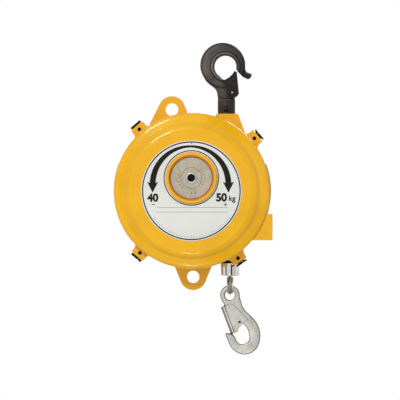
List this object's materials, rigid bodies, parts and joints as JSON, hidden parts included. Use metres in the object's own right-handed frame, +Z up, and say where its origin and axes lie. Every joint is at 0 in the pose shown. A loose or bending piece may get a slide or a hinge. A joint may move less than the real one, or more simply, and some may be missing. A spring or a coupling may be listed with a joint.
{
  "type": "tool balancer",
  "caption": "Round spring balancer: eccentric dial and label on the front, swivelling safety hook above, wire rope with a load hook below, side drive for the tension worm",
  "frame": {"origin": "saddle of the suspension hook, on its swivel axis", "axes": "X right, Z up, -Y to the front with the label"},
  "size_m": [0.2376, 0.1665, 0.4701],
  "materials": {
    "yellow_paint": "glossy enamel on a casting",
    "black_rubber": "plain rubber",
    "black_steel": "black oxide on a forging",
    "zinc_steel": "matt zinc",
    "bare_steel": "machined",
    "spring_steel": "blued strip",
    "chrome": "bright chrome",
    "label_white": "printed foil",
    "dial_grey": "matt cast",
    "drum_alloy": "cast and turned",
    "bronze": "plain bearing bronze",
    "nylon": "smooth nylon",
    "wire_rope": "stranded steel"
  },
  "bodies": {
    "housing": {"rear_case": "yellow_paint", "front_cover": "yellow_paint", "cover_seal": "black_rubber", "cover_screws": "black_steel", "corner_bumpers": "black_rubber", "label_plate": "label_white", "front_bush": "bronze", "rear_bush": "bronze", "rear_cap": "yellow_paint", "rear_cap_screws": "zinc_steel", "rope_guide": "nylon", "guide_ring": "spring_steel", "worm_bushes": "bronze", "hook_washer": "bare_steel"},
    "adjuster_shaft": {"main_shaft": "bare_steel", "wheel_key": "bare_steel", "worm_wheel": "bronze", "indicator_disc": "dial_grey", "spring_arbor": "bare_steel", "thrust_washers": "bare_steel"},
    "worm_drive": {"worm": "bare_steel"},
    "winding_drum": {"rope_drum": "drum_alloy", "wound_rope": "wire_rope", "drum_rivets": "zinc_steel", "drum_bushes": "bronze", "spring_case": "bare_steel", "spring_case_lid": "bare_steel", "mainspring": "spring_steel"},
    "rope_end": {"rope_run": "wire_rope", "stop_cushion": "black_rubber", "stop_sleeve": "chrome", "rope_ferrule": "drum_alloy", "thimble": "zinc_steel", "rope_eye": "wire_rope"},
    "lower_hook": {"load_hook": "zinc_steel", "load_latch_pin": "zinc_steel"},
    "lower_latch": {"load_latch": "zinc_steel"},
    "upper_hook": {"suspension_hook": "black_steel", "hook_stem": "black_steel", "stem_pin": "black_steel", "hook_nut": "bare_steel", "suspension_latch_pin": "zinc_steel"},
    "upper_latch": {"suspension_latch": "black_steel"}
  },
  "joints": [
    {"name": "shaft_turn", "type": "hinge", "parent": "housing", "child": "adjuster_shaft", "pos_m": [-0.05, 0, -0.185], "axis": [0, 1, 0], "range_deg": [-100, 100]},
    {"name": "worm_spin", "type": "hinge", "parent": "housing", "child": "worm_drive", "pos_m": [-0.05, -0.048, -0.258], "axis": [1, 0, 0], "range_deg": [-4800, 4800]},
    {"name": "drum_spin", "type": "hinge", "parent": "housing", "child": "winding_drum", "pos_m": [-0.05, 0, -0.185], "axis": [0, 1, 0], "range_deg": [0, 1221], "stiffness_Nm_per_rad": 0.207, "springref_deg": -6818.2},
    {"name": "rope_pull", "type": "slide", "parent": "housing", "child": "rope_end", "axis": [0, 0, -1], "range_m": [0, 1.3], "deforming": ["rope_run"]},
    {"name": "load_hook_swing", "type": "hinge", "parent": "rope_end", "child": "lower_hook", "pos_m": [0.0054, 0, -0.361], "axis": [0, 1, 0], "range_deg": [-45, 75]},
    {"name": "load_latch_open", "type": "hinge", "parent": "lower_hook", "child": "lower_latch", "pos_m": [0.01997, 0, -0.40119], "axis": [0, -1, 0], "range_deg": [0, 35], "stiffness_Nm_per_rad": 0.05, "springref_deg": -34.38},
    {"name": "hook_swivel", "type": "hinge", "parent": "housing", "child": "upper_hook", "pos_m": [0, 0, -0.1], "axis": [0, 0, 1], "continuous": true},
    {"name": "suspension_latch_open", "type": "hinge", "parent": "upper_hook", "child": "upper_latch", "pos_m": [0.0093, 0, -0.056], "axis": [0, -1, 0], "range_deg": [0, 33], "stiffness_Nm_per_rad": 0.1, "springref_deg": -34.38}
  ],
  "couplings": [
    {"joint": "worm_spin", "follows": "shaft_turn", "ratio": 48},
    {"joint": "rope_pull", "follows": "drum_spin", "m_per_rad": 0.061}
  ]
}
